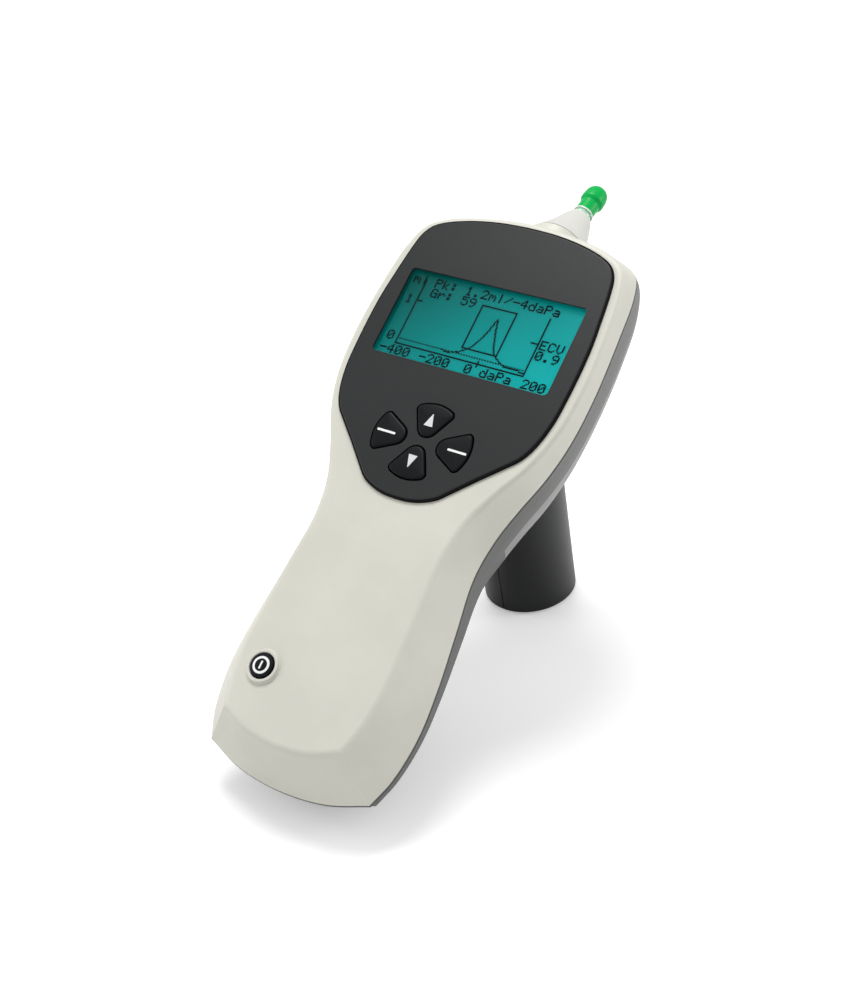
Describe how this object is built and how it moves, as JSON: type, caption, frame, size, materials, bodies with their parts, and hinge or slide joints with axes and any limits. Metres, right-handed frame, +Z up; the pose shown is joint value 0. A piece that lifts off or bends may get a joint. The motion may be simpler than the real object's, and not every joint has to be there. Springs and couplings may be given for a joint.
{
  "type": "tympanometer",
  "caption": "Handheld tympanometer: cream and grey waisted case standing on its leg and heel, with a display, petal keys and a probe cone with a soft green ear tip at its head.",
  "frame": {"origin": "middle of the leg's foot, on the surface that the part stands on", "axes": "+Z up, +Y from the heel towards the probe, +X to the right of someone who reads the display"},
  "size_m": [0.0838, 0.1916, 0.1382],
  "materials": {
    "cream_case": "fine satin texture",
    "grey_case": "fine satin texture",
    "light_grey_case": "fine satin texture",
    "face_plate": "smooth satin",
    "key_black": "smooth satin",
    "leg_grey": "fine satin texture",
    "clear_lens": "clear, flat",
    "display_teal": "back-lit dot display, teal with dark dots",
    "tip_green": "soft, slightly glossy",
    "clear_nozzle": "clear, polished",
    "cone_white": "smooth",
    "rubber_black": "matt",
    "board_green": "solder mask over glass fibre",
    "chip_black": "moulded",
    "bare_steel": "plain",
    "battery_skin": "dark plain sleeve",
    "inner_plastic": "moulded",
    "white_plastic": "moulded",
    "flex_amber": "thin film",
    "clear_tube": "clear"
  },
  "bodies": {
    "case": {"air_tube": "clear_tube", "battery_cell_1": "battery_skin", "battery_cell_2": "battery_skin", "battery_cell_3": "battery_skin", "battery_cell_4": "battery_skin", "battery_lead": "rubber_black", "battery_tray": "inner_plastic", "board_screw_1": "bare_steel", "board_screw_2": "bare_steel", "case_screw_1": "bare_steel", "case_screw_2": "bare_steel", "case_screw_3": "bare_steel", "case_screw_4": "bare_steel", "contact_front_left": "bare_steel", "contact_front_middle": "bare_steel", "contact_front_right": "bare_steel", "contact_rear_left": "bare_steel", "contact_rear_right": "bare_steel", "display_window": "clear_lens", "dome_sheet": "bare_steel", "front_panel": "face_plate", "heel_pad": "rubber_black", "keypad_mat": "rubber_black", "lcd_backlight": "white_plastic", "lcd_frame": "bare_steel", "lcd_glass": "display_teal", "left_leg_shell": "leg_grey", "leg_foot_pad": "rubber_black", "leg_screw_left": "bare_steel", "leg_screw_right": "bare_steel", "lower_case": "grey_case", "main_board": "board_green", "main_chip": "chip_black", "power_switch": "chip_black", "pressure_sensor": "chip_black", "probe_body": "white_plastic", "probe_collar": "cream_case", "probe_gasket": "rubber_black", "probe_microphone": "bare_steel", "probe_ribbon": "flex_amber", "probe_speaker": "bare_steel", "pump_bracket": "bare_steel", "pump_cylinder": "clear_tube", "pump_motor": "bare_steel", "right_leg_shell": "leg_grey", "underside_cover": "light_grey_case", "upper_case": "cream_case"},
    "up_key": {"up_button": "key_black"},
    "down_key": {"down_button": "key_black"},
    "left_key": {"left_button": "key_black"},
    "right_key": {"right_button": "key_black"},
    "power_key": {"power_button": "key_black"},
    "cone": {"nose_cone": "cone_white", "probe_tip": "clear_nozzle"},
    "tip": {"ear_tip": "tip_green"},
    "battery_door": {"battery_cover": "grey_case"},
    "pump_screw": {"pump_lead_screw": "bare_steel"},
    "pump_plunger": {"pump_piston": "white_plastic", "pump_seal": "rubber_black"}
  },
  "joints": [
    {"name": "up_press", "type": "slide", "parent": "case", "child": "up_key", "axis": [0, 0.6018, -0.7986], "range_m": [0, 0.0008], "stiffness_N_per_m": 300, "springref_m": -0.001},
    {"name": "down_press", "type": "slide", "parent": "case", "child": "down_key", "axis": [0, 0.6018, -0.7986], "range_m": [0, 0.0008], "stiffness_N_per_m": 300, "springref_m": -0.001},
    {"name": "left_press", "type": "slide", "parent": "case", "child": "left_key", "axis": [0, 0.6018, -0.7986], "range_m": [0, 0.0008], "stiffness_N_per_m": 300, "springref_m": -0.001},
    {"name": "right_press", "type": "slide", "parent": "case", "child": "right_key", "axis": [0, 0.6018, -0.7986], "range_m": [0, 0.0008], "stiffness_N_per_m": 300, "springref_m": -0.001},
    {"name": "power_press", "type": "slide", "parent": "case", "child": "power_key", "axis": [0, 0.6018, -0.7986], "range_m": [0, 0.0006], "stiffness_N_per_m": 300, "springref_m": -0.001},
    {"name": "cone_pull", "type": "slide", "parent": "case", "child": "cone", "axis": [0, 0.9397, 0.342], "range_m": [0, 0.015]},
    {"name": "tip_pull", "type": "slide", "parent": "cone", "child": "tip", "axis": [0, 0.9397, 0.342], "range_m": [0, 0.008]},
    {"name": "door_lift", "type": "slide", "parent": "case", "child": "battery_door", "axis": [0, 0.6018, -0.7986], "range_m": [0, 0.005]},
    {"name": "pump_turn", "type": "hinge", "parent": "case", "child": "pump_screw", "pos_m": [-0.017, -0.0344, 0.08639], "axis": [0, 0.7986, 0.6018], "range_deg": [0, 2880]},
    {"name": "pump_stroke", "type": "slide", "parent": "case", "child": "pump_plunger", "axis": [0, 0.7986, 0.6018], "range_m": [0, 0.016]}
  ],
  "couplings": [
    {"joint": "pump_turn", "follows": "pump_stroke", "rad_per_m": 3141.6}
  ]
}
